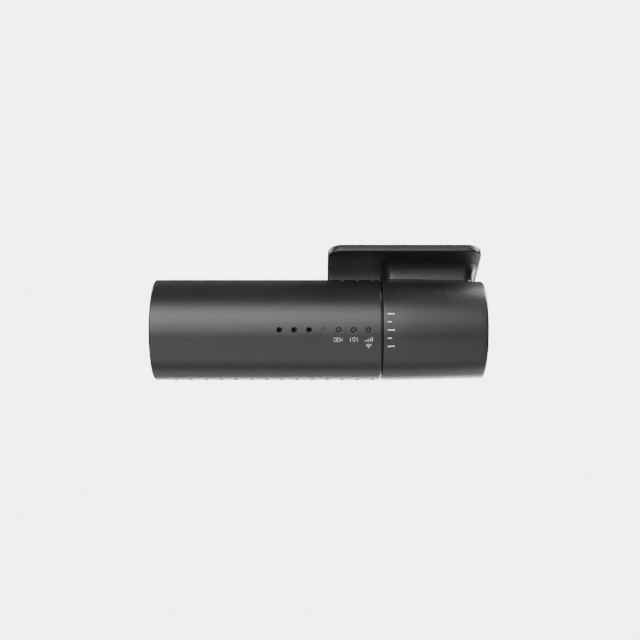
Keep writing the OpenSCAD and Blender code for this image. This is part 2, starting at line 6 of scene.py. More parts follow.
import bmesh
import bpy
import numpy as np
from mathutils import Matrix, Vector


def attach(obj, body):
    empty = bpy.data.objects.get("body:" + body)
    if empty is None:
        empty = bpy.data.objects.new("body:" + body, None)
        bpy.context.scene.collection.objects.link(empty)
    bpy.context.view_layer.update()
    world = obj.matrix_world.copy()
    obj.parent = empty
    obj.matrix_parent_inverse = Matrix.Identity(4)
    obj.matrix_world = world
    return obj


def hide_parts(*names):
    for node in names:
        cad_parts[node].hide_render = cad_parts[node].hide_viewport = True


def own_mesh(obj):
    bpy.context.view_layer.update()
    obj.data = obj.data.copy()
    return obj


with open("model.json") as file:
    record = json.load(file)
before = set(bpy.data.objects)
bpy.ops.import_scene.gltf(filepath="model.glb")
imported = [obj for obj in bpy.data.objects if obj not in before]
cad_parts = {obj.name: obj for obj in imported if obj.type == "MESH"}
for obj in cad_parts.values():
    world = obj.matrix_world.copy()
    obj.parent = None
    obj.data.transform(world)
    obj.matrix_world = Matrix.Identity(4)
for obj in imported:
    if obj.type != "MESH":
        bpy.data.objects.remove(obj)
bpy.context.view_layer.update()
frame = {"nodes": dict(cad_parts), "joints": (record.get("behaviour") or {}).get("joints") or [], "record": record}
MM = 0.001

# ---------------------------------------------------------------- sizes, in millimetres
# Points below are [x along the tube from the seam, y forwards, z up], on the tube's axis.
AXIS = Vector(next(j for j in frame["joints"] if j["name"] == "camera_tilt")["pos_m"])
R = 18.0
BORE = 16.2
X_LEFT, X_TUBE_END = -80.3, -0.3
X_MOUTH, X_END, X_WALL = 0.3, 36.5, 34.5
R_END = 17.4
SLEEVE_BORE = 15.75
RIGHT_RIM, LEFT_RIM = 0.22, 0.6
DOT_RADIUS = 0.85
NECK_X, NECK_HALF, NECK_CORNER = X_MOUTH + 17.3, (15.9, 8.0), 3.2
BUTTON_HALF, BUTTON_UP = (10.0, 3.8), -4.5
TILT = math.radians(28)
PLATE_LOW = 20.4
PLATE = (54.5, 36.0, 2.7)
PLATE_X = 8.45
PLATE_ALONG = -2.9
ROW = [-4.8 - 5.1 * (6 - i) for i in range(7)]
SLOTS = [-2.86 - 5.37 * i for i in range(14)]
X_LENS = -40.3
DOME_FOOT = (-75.2, -3.9, -6.5)
CAMERA_ALONG, CAMERA_BACK = -21.0, 375.0


# ---------------------------------------------------------------- mesh helpers
def build(name, points, faces, smooth=True):
    """A mesh object from points in tube millimetres and faces as index lists."""
    mesh = bpy.data.meshes.new(name)
    place = np.asarray(points, float) * MM + np.array(AXIS)
    mesh.from_pydata(place.tolist(), [], [list(map(int, f)) for f in faces])
    mesh.validate()
    mesh.update()
    obj = bpy.data.objects.new(name, mesh)
    bpy.context.scene.collection.objects.link(obj)
    if smooth:
        mesh.shade_smooth()
    return obj


def crease(obj, degrees=35):
    """Marks every edge sharper than the angle, so smooth shading stops there."""
    mesh = obj.data
    mesh.set_sharp_from_angle(angle=math.radians(degrees))
    return obj


def loft(name, loops, close_ends=False, ring=False):
    """A surface through closed loops of equal length: point (i, j) is loop i's point j, and each
    quad joins neighbours of both. ring joins the last loop to the first, and close_ends puts one
    face on the first and one on the last loop."""
    loops = np.asarray(loops, float)
    m, n = loops.shape[:2]
    j = np.arange(n)
    faces = []
    for i in range(m if ring else m - 1):
        a, b = i * n, ((i + 1) % m) * n
        faces += np.stack([a + j, a + (j + 1) % n, b + (j + 1) % n, b + j], 1).tolist()
    if close_ends:
        faces.append(list(range(n - 1, -1, -1)))
        faces.append(list(range((m - 1) * n, m * n)))
    return build(name, loops.reshape(-1, 3), faces)


def outward(obj):
    """Turns the faces so that they all look outwards."""
    bm = bmesh.new()
    bm.from_mesh(obj.data)
    bmesh.ops.recalc_face_normals(bm, faces=bm.faces)
    bm.to_mesh(obj.data)
    bm.free()
    return obj


def round_box_ray(directions, a, b, r):
    """Where rays from the middle leave a rectangle of half sizes a and b with corners of radius r."""
    d = np.asarray(directions, float)
    d = d / np.linalg.norm(d, axis=1)[:, None]
    s = np.minimum(a / np.maximum(abs(d[:, 0]), 1e-9), b / np.maximum(abs(d[:, 1]), 1e-9))
    p = d * s[:, None]
    if r > 0:
        c = np.array([a - r, b - r])
        q = abs(d)
        corner = (abs(p[:, 0]) > c[0]) & (abs(p[:, 1]) > c[1])
        dot = q @ c
        root = np.sqrt(np.maximum(dot**2 - (c @ c - r * r), 0))
        s = np.where(corner, dot + root, s)
        p = d * s[:, None]
    return p


# ---------------------------------------------------------------- camera tube
def tube_openings():
    """Each opening as (x, angle, half width along x, half width in degrees, shape, fillet). The two
    widths are of the block of grid that gives way to it. A shape is a box with its half sizes and
    corner radius, a round with its radius, or a groove with its radius, width and depth."""
    slot = ("box", 1.35, R * math.sin(math.radians(6.63)), 0.25)
    slot_angles = (80.5, 99.5, 260.5, 279.5)
    openings = [(x, angle, 1.85, 8.5, slot, 0.15) for x in SLOTS for angle in slot_angles]
    openings += [(ROW[i], 180, 1.3, 4.2, ("round", DOT_RADIUS), 0.16) for i in (0, 1, 2, 4, 5, 6)]
    openings.append((ROW[3], 180, 1.3, 4.2, ("groove", DOT_RADIUS, 0.2, 0.2), 0.05))
    openings.append((X_LENS, 0, 11.6, 41.0, ("round", 10.5), 0.3))
    openings.append((X_LENS - 13.9, 0, 2.1, 6.8, ("round", 1.5), 0.1))
    return openings


def filled_in(values, longest):
    """Sorted values with more put between neighbours that are further apart than longest."""
    out = []
    for low, high in zip(values, values[1:]):
        steps = max(1, int(math.ceil((high - low) / longest)))
        out += [low + (high - low) * t / steps for t in range(steps)]
    return out


def tube_stations(openings):
    """Where the tube's grid has its rings along x. Every opening's block begins and ends on one."""
    first, last = X_LEFT + LEFT_RIM, X_TUBE_END - RIGHT_RIM
    lines = {first, last}
    for x, _, half, _, _, _ in openings:
        lines |= {round(x - half, 4), round(x + half, 4)}
        lines |= {round(x + t, 4) for t in np.linspace(-half, half, 19 if half > 5 else 5)}
    lines = sorted(lines)
    lines = filled_in(lines, 2.2) + [lines[-1]]
    return np.array([x for x in lines if first - 1e-6 <= x <= last + 1e-6])


def tube_angles(openings):
    """Where the tube's grid has its lines round the tube, in degrees."""
    lines = set()
    for _, angle, _, half, _, _ in openings:
        count = 21 if half > 30 else 13 if half > 8 else 9
        lines |= {round((angle + t) % 360, 4) for t in np.linspace(-half, half, count)}
    lines = sorted(lines)
    return np.array(filled_in(lines + [lines[0] + 360], 2.0))


def tube_profile(stations):
    """Rows (x, radius): out along the outside, round the right rim, back along the bore and round
    the left rim. Also how many rows the outside and the right rim have."""
    arc = np.linspace(0, math.pi / 2, 6)
    outer = [(x, R) for x in stations]
    f = RIGHT_RIM
    right = [(X_TUBE_END - f + f * math.sin(a), R - f + f * math.cos(a)) for a in arc[1:]]
    right += [(X_TUBE_END, R - 1.0), (X_TUBE_END, BORE)]
    inner = [(x, BORE) for x in stations[::-1]]
    f = LEFT_RIM
    left = [(X_LEFT, BORE), (X_LEFT, BORE + 0.6)]
    left += [(X_LEFT + f - f * math.cos(a), R - f + f * math.sin(a)) for a in arc[:-1]]
    return outer + right + inner + left, len(outer), len(right)


def opening_loops(first, half_x, shape, fillet):
    """The loops that lead from a block's edge, first, to an opening's outline and through the wall,
    each as (points across the surface, cylinder radius, depth below it).

    A known fault: past the rim a box's half length, in millimetres, is the rounding's angle in
    radians and not the shape's own, so the rim of a slot is folded and the slot is 0.44 mm too long."""
    if shape[0] == "box":
        wide, corner = shape[2:]
        ray = first / [half_x, abs(first[:, 1]).max()] * [shape[1], wide]

        def outline(d, half_length):
            return round_box_ray(ray, half_length + d, wide + d, corner + d)
    else:
        ray = first / np.linalg.norm(first, axis=1)[:, None]

        def outline(d, _):
            return ray * (shape[1] + d)

    arc = np.linspace(0, math.pi / 2, 4)[1:]
    rim, edge = outline(fillet, shape[1]), outline(0.0, arc[-1])
    loops = [(first * (1 - t) + rim * t, R, 0.0) for t in (0.5, 1.0)]
    for q in arc:
        loops.append((outline(fillet * (1 - math.sin(q)), q), R, fillet * (1 - math.cos(q))))
    if shape[0] == "groove":
        wide, deep = shape[2:]
        island = outline(-wide, 0)
        loops += [(edge, R, deep), (island, R, deep), (island, R, fillet)]
        return loops + [(outline(-wide - fillet, 0), R, 0.0), (edge * 0.35, R, 0.0)]
    loops += [(edge, BORE, -0.15), (edge, BORE, 0.0)]
    return loops + [(edge * (1 - t) + first * [1, BORE / R] * t, BORE, 0.0) for t in (1 / 3, 2 / 3)]


def tube_skin():
    """The camera's tube with its openings.

    Outside, point (x, angle) lies on a cylinder of radius R; inside, on one of radius BORE, and the
    two ends are joined by rounded rims. For each opening a block of the grid is left out, and loops
    run from the block's edge to the opening's outline, over a small rounded edge and straight
    through the wall, so it stays one closed surface."""
    openings = tube_openings()
    stations, degs = tube_stations(openings), tube_angles(openings)
    rows, outer_rows, rim_rows = tube_profile(stations)
    m, n = len(rows), len(degs)
    x_of, r_of = np.array(rows).T
    rad = np.radians(degs)
    along = np.repeat(x_of[:, None], n, 1)
    grid = np.stack([along, np.outer(r_of, np.cos(rad)), np.outer(r_of, np.sin(rad))], 2)
    points = grid.reshape(-1, 3).tolist()
    gone = np.zeros((m, n), bool)
    faces = []

    def in_bore(i):
        """The bore's row under the outside's row i."""
        return outer_rows + rim_rows + (outer_rows - 1 - i)

    for x, angle, half_x, half_angle, shape, fillet in openings:
        through = shape[0] != "groove"
        i0, i1 = (int(np.argmin(abs(stations - (x + side * half_x)))) for side in (-1, 1))
        start_angle = angle - half_angle
        j0 = int(np.argmin(abs((degs - start_angle + 180) % 360 - 180)))
        nj = int(np.sum(((degs - start_angle) % 360) < 2 * half_angle - 1e-3))
        cols = [(j0 + t) % n for t in range(nj + 1)]
        for i in range(i0, i1):
            gone[i, cols[:nj]] = True
            if through:
                gone[in_bore(i) - 1, cols[:nj]] = True
        edge = [(i, cols[0]) for i in range(i0, i1)]
        edge += [(i1, j) for j in cols[:nj]]
        edge += [(i, cols[nj]) for i in range(i1, i0, -1)]
        edge += [(i0, j) for j in cols[nj:0:-1]]
        turn = math.radians(angle)
        outwards = np.array([0, math.cos(turn), math.sin(turn)])
        sideways = np.array([0, -math.sin(turn), math.cos(turn)])
        place = np.array([grid[e] for e in edge])
        first = np.stack([place[:, 0] - x, place @ sideways], 1)
        loops = [[i * n + j for i, j in edge]]
        for uv, r, sink in opening_loops(first, half_x, shape, fillet):
            loops.append(list(range(len(points), len(points) + len(uv))))
            height = np.sqrt(np.maximum(r * r - uv[:, 1] ** 2, 0)) - sink
            added = uv[:, 1:2] * sideways + height[:, None] * outwards
            added[:, 0] += x + uv[:, 0]
            points += added.tolist()
        if through:
            loops.append([in_bore(i) * n + j for i, j in edge])
        else:
            faces.append(loops[-1])
        for a, b in zip(loops, loops[1:]):
            for t in range(len(edge)):
                t2 = (t + 1) % len(edge)
                faces.append([a[t], a[t2], b[t2], b[t]])
    for i, j in np.argwhere(~gone):
        i2, j2 = (i + 1) % m, (j + 1) % n
        faces.append([i * n + j, i * n + j2, i2 * n + j2, i2 * n + j])
    used = sorted({p for f in faces for p in f})
    renumber = {p: k for k, p in enumerate(used)}
    obj = build("tube_skin", [points[p] for p in used], [[renumber[p] for p in f] for f in faces])
    return crease(outward(obj), 40)


# ---------------------------------------------------------------- bracket
def ring_loop(x, r, n=256):
    """A circle of radius r about the tube's axis at x."""
    a = np.linspace(0, 2 * math.pi, n, endpoint=False)
    return np.stack([np.full(n, x), r * np.cos(a), r * np.sin(a)], 1)


def sleeve_skin():
    """The sleeve: loops run from its mouth along the outside, which narrows a little towards the
    closed end, over the rounded rim, across the end face to the outline of the button's opening,
    through the wall and back along the bore. It closes on itself."""
    arc = np.linspace(0, math.pi / 2, 7)
    loops = [ring_loop(X_MOUTH, r) for r in (R - 0.9, R - 0.3)]
    f = 0.2
    loops += [ring_loop(X_MOUTH + f - f * math.cos(a), R - f + f * math.sin(a)) for a in arc[1:]]
    end = X_END - 0.75
    slope = (R - R_END) / (end - X_MOUTH - 8)
    for x in np.linspace(X_MOUTH + 1.5, end, 24):
        t = x - X_MOUTH - 8
        bend = max(0.0, t) if abs(t) > 1.5 else (t + 1.5) ** 2 / 6
        loops.append(ring_loop(x, R - slope * bend))
    g = 0.7
    loops += [ring_loop(end + 0.05 + g * math.sin(a), R_END - g + g * math.cos(a)) for a in arc[1:]]
    n = 256
    a = np.linspace(0, 2 * math.pi, n, endpoint=False)
    face = ring_loop(X_END, R_END - g)[:, 1:]
    middle = np.array([0.0, BUTTON_UP])
    ray = np.stack([np.cos(a), np.sin(a)], 1)

    def opening(d):
        return middle + round_box_ray(ray, BUTTON_HALF[0] + 0.3 + d, BUTTON_HALF[1] + 0.3 + d, 2.8 + d)

    def flat(x, yz):
        return np.concatenate([np.full((n, 1), x), yz], 1)

    for t in (0.25, 0.5, 0.75, 1):
        loops.append(flat(X_END, face * (1 - t) + opening(0.3) * t))
    for b in np.linspace(0, math.pi / 2, 4)[1:]:
        loops.append(flat(X_END - 0.3 * (1 - math.cos(b)), opening(0.3 * (1 - math.sin(b)))))
    loops.append(flat(X_WALL, opening(0)))
    inner = ring_loop(X_WALL, SLEEVE_BORE)[:, 1:]
    for t in (0.5, 1):
        loops.append(flat(X_WALL, opening(0) * (1 - t) + inner * t))
    for x in np.linspace(X_WALL - 2, X_MOUTH + 0.3, 10):
        loops.append(ring_loop(x, SLEEVE_BORE))
    loops.append(ring_loop(X_MOUTH, SLEEVE_BORE + 0.25))
    return crease(outward(loft("sleeve_skin", loops, ring=True)), 40)


def box_loop(a, b, r, n=240):
    """The outline of a rectangle of half sizes a and b with round corners."""
    t = np.linspace(0, 2 * math.pi, n, endpoint=False)
    reach = np.stack([np.cos(t) * a, np.sin(t) * b], 1)
    return round_box_ray(reach, a, b, r)


def slab(name, a, b, r, height, edge, place):
    """A round-cornered slab with rounded edges: loops run from the middle of its underside out to
    the edge, round it and back over the top. place puts each point (u, v, h) where it belongs."""
    loops = []
    arc = np.linspace(0, math.pi / 2, 6)
    for t in (0.35, 0.7):
        loops.append((box_loop((a - edge) * t, (b - edge) * t, (r - edge) * t), 0.0))
    for q in arc:
        d = -edge * (1 - math.sin(q))
        loops.append((box_loop(a + d, b + d, r + d), edge * (1 - math.cos(q))))
    for q in arc[::-1]:
        d = -edge * (1 - math.sin(q))
        loops.append((box_loop(a + d, b + d, r + d), height - edge * (1 - math.cos(q))))
    for t in (0.7, 0.35):
        loops.append((box_loop((a - edge) * t, (b - edge) * t, (r - edge) * t), height))
    points = [place(uv, h) for uv, h in loops]
    return crease(outward(loft(name, points, close_ends=True)), 50)


def on_plate(h0):
    """Maps slab points onto the tilted plate, h0 above the tube's axis."""
    s, c = math.sin(TILT), math.cos(TILT)

    def place(uv, h):
        along = uv[:, 1] + PLATE_ALONG
        up = h0 + h
        return np.stack([PLATE_X + uv[:, 0], along * c + up * s, up * c - along * s], 1)

    return place


def neck_skin():
    """The neck: its outline is a round-cornered rectangle; each point of it rises from the sleeve's
    surface to the plate's underside, and the outline spreads at both ends in a hollow curve, by
    foot at the sleeve and by head under the plate."""
    s, c = math.sin(TILT), math.cos(TILT)

    def heights(uv):
        x, y = uv[:, 0] + NECK_X, uv[:, 1] + NECK_HALF[1]
        r = np.where(x < X_MOUTH + 8, R, R - (R - R_END) * (x - X_MOUTH - 8) / 27.6)
        base = np.sqrt(np.maximum(r * r - y * y, 4.0))
        top = (PLATE_LOW - y * s) / c
        return x, y, base, top

    loops = []
    foot, head = 0.55, 3.2
    arc = np.linspace(0, math.pi / 2, 7)

    def add(d, at):
        uv = box_loop(NECK_HALF[0] + 0.5 * d, NECK_HALF[1] + d, NECK_CORNER + 0.7 * d)
        x, y, base, top = heights(uv)
        loops.append(np.stack([x, y, at(base, top)], 1))

    add(foot * 0.5, lambda b, t: b - 1.6)
    for q in arc:
        add(foot * (1 - math.sin(q)), lambda b, t, q=q: b + foot * (1 - math.cos(q)))
    for k in (0.35, 0.65):
        add(0, lambda b, t, k=k: (b + foot) * (1 - k) + (t - head) * k)
    for q in arc[::-1]:
        add(head * (1 - math.sin(q)), lambda b, t, q=q: t - head * (1 - math.cos(q)))
    add(head * 0.5, lambda b, t: t + 0.8)
    return crease(outward(loft("neck_skin", loops, close_ends=True)), 50)


def release_skin():
    """The release button: a round-cornered pad with a shallow dish, standing out of the end face."""
    loops = []
    n = 240

    def add(a, b, r, x):
        yz = box_loop(a, b, r)
        loops.append(np.stack([np.full(n, x), yz[:, 0], yz[:, 1] + BUTTON_UP], 1))

    half_y, half_z = BUTTON_HALF
    back = X_WALL - 1.2
    add(half_y - 1, half_z - 0.8, 1.6, back)
    add(half_y + 0.8, half_z + 0.8, 3, back)
    add(half_y + 0.8, half_z + 0.8, 3, X_WALL - 0.3)
    add(half_y, half_z, 2.5, X_WALL - 0.3)
    top, f = X_END + 1.1, 0.5
    for q in np.linspace(0, math.pi / 2, 6):
        d = f * (1 - math.cos(q))
        add(half_y - d, half_z - d, 2.5 - d, top - f + f * math.sin(q))
    for t in (0.92, 0.8, 0.6, 0.4, 0.2):
        add((half_y - f) * t, (half_z - f) * t, 2.0 * t, top - 0.22 * (1 - t * t))
    return crease(outward(loft("release_skin", loops, close_ends=True)), 50)


def light_domes():
    """The three light windows: turned about Y through each window's middle. The profile runs from the
    back of the pipe to a shoulder below the tube's surface, then over a shallow dome."""
    n = 48
    a = np.linspace(0, 2 * math.pi, n, endpoint=False)
    arc = np.linspace(0, math.pi / 2, 7)[:-1]
    profile = [(0.3, -8.1), (0.74, -8.1), (0.81, -8.2)]
    profile += [(0.81, -R + 0.5), (0.77, -R + 0.44), (0.52, -R + 0.42)]
    profile += [(0.5 * math.cos(q), -R + 0.32 - 0.16 * math.sin(q)) for q in arc]
    points, faces = [], []
    for x in ROW[4:]:
        start = len(points)
        for r, y in profile:
            points += np.stack([x + r * np.cos(a), np.full(n, y), r * np.sin(a)], 1).tolist()
        for i in range(len(profile) - 1):
            c, d = start + i * n, start + (i + 1) * n
            faces += [[c + j, c + (j + 1) % n, d + (j + 1) % n, d + j] for j in range(n)]
        last = start + (len(profile) - 1) * n
        faces += [list(range(start, start + n)), list(range(last, last + n))]
    return crease(outward(build("light_domes", points, faces)), 40)


def rubber_dome():
    """The rubber dome between function button and switch: turned about X, from its wide foot on the
    switch through a hollow waist to a rounded crown, and closed by a face at each end."""
    x, y, z = DOME_FOOT
    crown = np.linspace(0, math.pi / 2, 6)[:-1]
    profile = [(x, 1.18), (x - 0.14, 1.2), (x - 0.26, 1.16)]
    profile += [(x - 0.26 - 0.6 * t, 1.16 - 0.34 * math.sin(t * math.pi / 2)) for t in (0.25, 0.5, 0.75)]
    profile += [(x - 0.9 - 0.3 * math.sin(q), 0.5 + 0.32 * math.cos(q)) for q in crown]
    profile += [(x - 1.2, 0.45)]
    loops = [ring_loop(px, r, 48) + [0, y, z] for px, r in profile]
    return crease(outward(loft("rubber_dome", loops, close_ends=True)), 50)


# ---------------------------------------------------------------- print
def ink(name, strokes, r, x0, up, wide=0.2):
    """Printed strokes on the tube: each stroke is a chain of (u, v) points in millimetres, u along
    the tube and v up its side, laid on the cylinder of radius r as a ribbon that stands out by
    0.025 mm. A stroke may also be (points, width)."""
    points, faces = [], []
    for stroke in strokes:
        w = wide
        if isinstance(stroke, tuple):
            stroke, w = stroke
        p = np.array(stroke, float)
        closed = np.allclose(p[0], p[-1]) and len(p) > 3
        if closed:
            p = p[:-1]
            along = np.roll(p, -1, 0) - np.roll(p, 1, 0)
        else:
            steps = max(2, int(np.linalg.norm(p[-1] - p[0]) / 0.3)) if len(p) == 2 else 0
            if steps:
                p = np.linspace(p[0], p[1], steps + 1)
            along = np.gradient(p, axis=0)
        along /= np.linalg.norm(along, axis=1)[:, None]
        across = np.stack([-along[:, 1], along[:, 0]], 1) * w / 2
        k = len(p)
        base = len(points)
        for side, lift in ((-1, -0.05), (-1, 0.025), (1, 0.025), (1, -0.05)):
            q = p + side * across
            a = math.pi - (up + q[:, 1]) / r
            rr = r + lift
            points += np.stack([x0 + q[:, 0], rr * np.cos(a), rr * np.sin(a)], 1).tolist()
        for t in range(k if closed else k - 1):
            t2 = (t + 1) % k
            for a in range(4):
                b = (a + 1) % 4
                faces.append([base + a * k + t, base + a * k + t2, base + b * k + t2, base + b * k + t])
        if not closed:
            faces.append([base + a * k for a in range(4)])
            faces.append([base + a * k + k - 1 for a in (3, 2, 1, 0)])
    obj = build(name, points, faces, smooth=False)
    return outward(obj)


def circle(x, y, r, n=28, a0=0, a1=360):
    """Points round part of a circle."""
    a = np.radians(np.linspace(a0, a1, n + 1))
    return [(x + r * math.cos(t), y + r * math.sin(t)) for t in a]


def tick_marks():
    """Five angle marks, three long and two short, 9 degrees apart."""
    strokes = []
    for i in (-2, -1, 0, 1, 2):
        long = i % 2 == 0
        v = math.radians(9 * i) * R
        strokes.append([(0, v), (2.4 if long else 1.4, v)])
    return ink("tick_marks", strokes, R, X_MOUTH + 1.4, 0, 0.34)


def symbols():
    """Symbols under the lights: a film camera with a dot, a place marker with two arcs, four signal
    bars, and below those a set of radio arcs."""
    film = [[(-1.7, -0.6), (0.3, -0.6), (0.3, 0.6), (-1.7, 0.6), (-1.7, -0.6)],
            [(0.3, 0.1), (1.1, 0.55), (1.1, -0.55), (0.3, -0.1)], (circle(-0.7, 0, 0.16, 12), 0.3)]
    marker = [circle(0, 0.3, 0.5, 20, -35, 215), [(-0.41, 0.01), (0, -0.75), (0.41, 0.01)],
              circle(0, 0.1, 1.25, 10, -35, 35), circle(0, 0.1, 1.25, 10, 145, 215)]
    bars = [([(-1.2 + 0.6 * i, -0.7), (-1.2 + 0.6 * i, -0.25 + 0.3 * i)], 0.26) for i in range(5)]
    waves = [circle(0, -0.7, r, 12, 45, 135) for r in (0.5, 0.95, 1.4)]
    waves.append((circle(0, -0.62, 0.08, 8), 0.16))
    rows = ((ROW[4], -3.35, film), (ROW[5], -3.35, marker), (ROW[6], -3.35, bars),
            (ROW[6], -5.6, waves))
    return [ink("symbol_%d" % k, strokes, R, x, v, 0.2) for k, (x, v, strokes) in enumerate(rows)]


# ---------------------------------------------------------------- shader helpers
class Value:
    """A socket that can be worked with like a number."""

    def __init__(self, nodes, socket):
        self.nodes, self.socket = nodes, socket

    def _math(self, operation, other, swap=False):
        a, b = (other, self) if swap else (self, other)
        return self.nodes.node("ShaderNodeMath", {"operation": operation}, {0: a, 1: b})

    def __add__(self, other):
        return self._math("ADD", other)

    def __radd__(self, other):
        return self._math("ADD", other, True)

    def __sub__(self, other):
        return self._math("SUBTRACT", other)

    def __rsub__(self, other):
        return self._math("SUBTRACT", other, True)

    def __mul__(self, other):
        return self._math("MULTIPLY", other)

    def __rmul__(self, other):
        return self._math("MULTIPLY", other, True)

    def step(self, low, high):
        """0 below low, 1 above high, smooth between."""
        return self.nodes.node("ShaderNodeMapRange", {"interpolation_type": "SMOOTHSTEP"},
                               {"Value": self, "From Min": low, "From Max": high})


class Nodes:
    """A new material with one Principled shader, and one way to add any other node."""

    def __init__(self, name, **settings):
        self.material = bpy.data.materials.new(name)
        self.material.use_nodes = True
        self.tree = self.material.node_tree
        self.shader = self.tree.nodes["Principled BSDF"]
        for key, value in settings.items():
            self.shader.inputs[key.replace("_", " ")].default_value = value
        self.place = self.node("ShaderNodeTexCoord", {}, {}, "Object")

    def node(self, kind, settings, values, out=0):
        made = self.tree.nodes.new(kind)
        for key, value in settings.items():
            setattr(made, key, value)
        for key, value in values.items():
            socket = made.inputs[key]
            if isinstance(value, Value):
                self.tree.links.new(value.socket, socket)
            else:
                socket.default_value = value
        return Value(self, made.outputs[out])

    def noise(self, millimetres, detail=3.0, rough=0.5, where=None, out=0):
        """Noise whose grains are about that many millimetres across."""
        return self.node("ShaderNodeTexNoise", {}, {"Vector": where or self.place,
                         "Scale": 1000.0 / millimetres, "Detail": detail, "Roughness": rough}, out)

    def mix(self, factor, a, b):
        """A colour between two colours."""
        return self.node("ShaderNodeMix", {"data_type": "RGBA"}, {0: factor, 6: a, 7: b}, 2)

    def stretch(self, x, y, z):
        """Object coordinates stretched by three factors."""
        return self.node("ShaderNodeVectorMath", {"operation": "MULTIPLY"},
                         {0: self.place, 1: (x, y, z)})

    def bump(self, height, strength, distance_mm, under=None):
        values = {"Height": height, "Strength": strength, "Distance": distance_mm * MM}
        if under is not None:
            values["Normal"] = under
        return self.node("ShaderNodeBump", {}, values)

    def to(self, name, value):
        self.tree.links.new(value.socket, self.shader.inputs[name])
        return self


def grey(v, tint=0.0):
    return (v, v, v * (1 + tint), 1)


def satin_plastic(name, tone, roughness, grain_mm=0.3, grain=0.12, spread=0.06):
    """Moulded plastic with a fine eroded grain, slow changes of shine and faint handling marks."""
    m = Nodes(name, IOR=1.49)
    cells = m.node("ShaderNodeTexVoronoi", {"feature": "SMOOTH_F1"},
                   {"Vector": m.place, "Scale": 1000.0 / grain_mm, "Smoothness": 0.6})
    fine = m.noise(grain_mm * 0.5, 2.0)
    slow = m.noise(14.0, 4.0, 0.55)
    marks = m.noise(3.0, 5.0, 0.6, m.stretch(0.35, 1.0, 1.0))
    height = cells * 0.6 + fine * 0.4
    rub = marks.step(0.60, 0.74)
    m.to("Base Color", m.mix(slow.step(0.35, 0.65), grey(tone * 0.94, 0.01), grey(tone * 1.06, 0.01)))
    m.to("Roughness", roughness + (slow - 0.5) * spread - rub * 0.025 + (fine - 0.5) * 0.05)
    m.to("Normal", m.bump(height, grain, 0.02))
    return m.material


def speckled(name, tone, roughness, colour=None, metallic=0.0, grain_mm=0.5, strength=0.15, **more):
    """A plain part seen rarely: two close tones in a fine grain, with a little relief."""
    m = Nodes(name, Metallic=metallic, **more)
    base = colour or (tone, tone, tone)
    grain = m.noise(grain_mm, 3.0)
    slow = m.noise(6.0, 3.0)
    low, high = ((*[c * share for c in base], 1) for share in (0.88, 1.08))
    m.to("Base Color", m.mix(slow.step(0.3, 0.7), low, high))
    m.to("Roughness", roughness + (grain - 0.5) * 0.12 + (slow - 0.5) * 0.06)
    m.to("Normal", m.bump(grain, strength, 0.02))
    return m.material


def brushed(name, tone, roughness, along=(0.06, 1.0, 1.0)):
    """Metal with fine lines along one direction."""
    m = Nodes(name, Metallic=1.0)
    lines = m.noise(0.12, 4.0, 0.6, m.stretch(*along))
    slow = m.noise(4.0, 3.0)
    m.to("Base Color", m.mix(slow.step(0.3, 0.7), grey(tone * 0.93), grey(tone * 1.04)))
    m.to("Roughness", roughness + (lines - 0.5) * 0.2)
    m.to("Normal", m.bump(lines, 0.2, 0.01))
    return m.material


def circuit(name):
    """Green solder mask with tracks, pads and tiny glass weave."""
    m = Nodes(name, IOR=1.5)
    tracks = m.node("ShaderNodeTexWave", {"bands_direction": "X", "wave_profile": "SIN"},
                    {"Vector": m.place, "Scale": 900.0, "Distortion": 6.0, "Detail": 1.0}, 1)
    copper = tracks.step(0.72, 0.8)
    weave = m.noise(0.25, 2.0)
    m.to("Base Color", m.mix(copper, (0.008, 0.05, 0.025, 1), (0.02, 0.1, 0.05, 1)))
    m.to("Roughness", 0.32 + (weave - 0.5) * 0.15)
    m.to("Normal", m.bump(copper + weave * 0.3, 0.3, 0.03))
    return m.material


def woven(name, tone):
    """Fine cloth: two crossing sets of threads."""
    m = Nodes(name)
    a = m.node("ShaderNodeTexWave", {"bands_direction": "X"}, {"Vector": m.place, "Scale": 1600.0}, 1)
    b = m.node("ShaderNodeTexWave", {"bands_direction": "Z"}, {"Vector": m.place, "Scale": 1600.0}, 1)
    m.to("Base Color", m.mix(a * b, grey(tone * 0.5), grey(tone * 1.6)))
    m.to("Roughness", 0.85 + (a - 0.5) * 0.1)
    m.to("Normal", m.bump(a + b, 0.5, 0.05))
    return m.material


def foam(name):
    """Closed-cell foam tape with a thin shiny glue film."""
    m = Nodes(name, IOR=1.45)
    cells = m.node("ShaderNodeTexVoronoi", {"feature": "F1"}, {"Vector": m.place, "Scale": 2600.0})
    slow = m.noise(9.0, 4.0)
    m.to("Base Color", m.mix(cells.step(0.2, 0.7), grey(0.016), grey(0.03)))
    m.to("Roughness", 0.5 + (slow - 0.5) * 0.3)
    m.to("Normal", m.bump(cells, 0.25, 0.05))
    return m.material


def glass(name, film, tone):
    """Coated optical glass: clear, with a thin film that colours what it mirrors, and faint dust."""
    m = Nodes(name, IOR=1.6, Transmission_Weight=1.0, Thin_Film_Thickness=film, Thin_Film_IOR=1.35)
    dust = m.noise(0.6, 4.0, 0.6)
    m.to("Base Color", m.mix(dust.step(0.55, 0.8), grey(tone), grey(tone * 0.97)))
    m.to("Roughness", 0.02 + dust.step(0.62, 0.8) * 0.03)
    return m.material


def smoked(name, tone):
    """A smoked light window: dark clear plastic over a pale diffuser."""
    m = Nodes(name, IOR=1.49, Coat_Weight=0.4, Coat_Roughness=0.12)
    cloud = m.noise(0.8, 3.0)
    m.to("Base Color", m.mix(cloud.step(0.3, 0.7), grey(tone * 0.85), grey(tone * 1.15)))
    m.to("Roughness", 0.28 + (cloud - 0.5) * 0.1)
    m.to("Normal", m.bump(cloud, 0.05, 0.01))
    return m.material


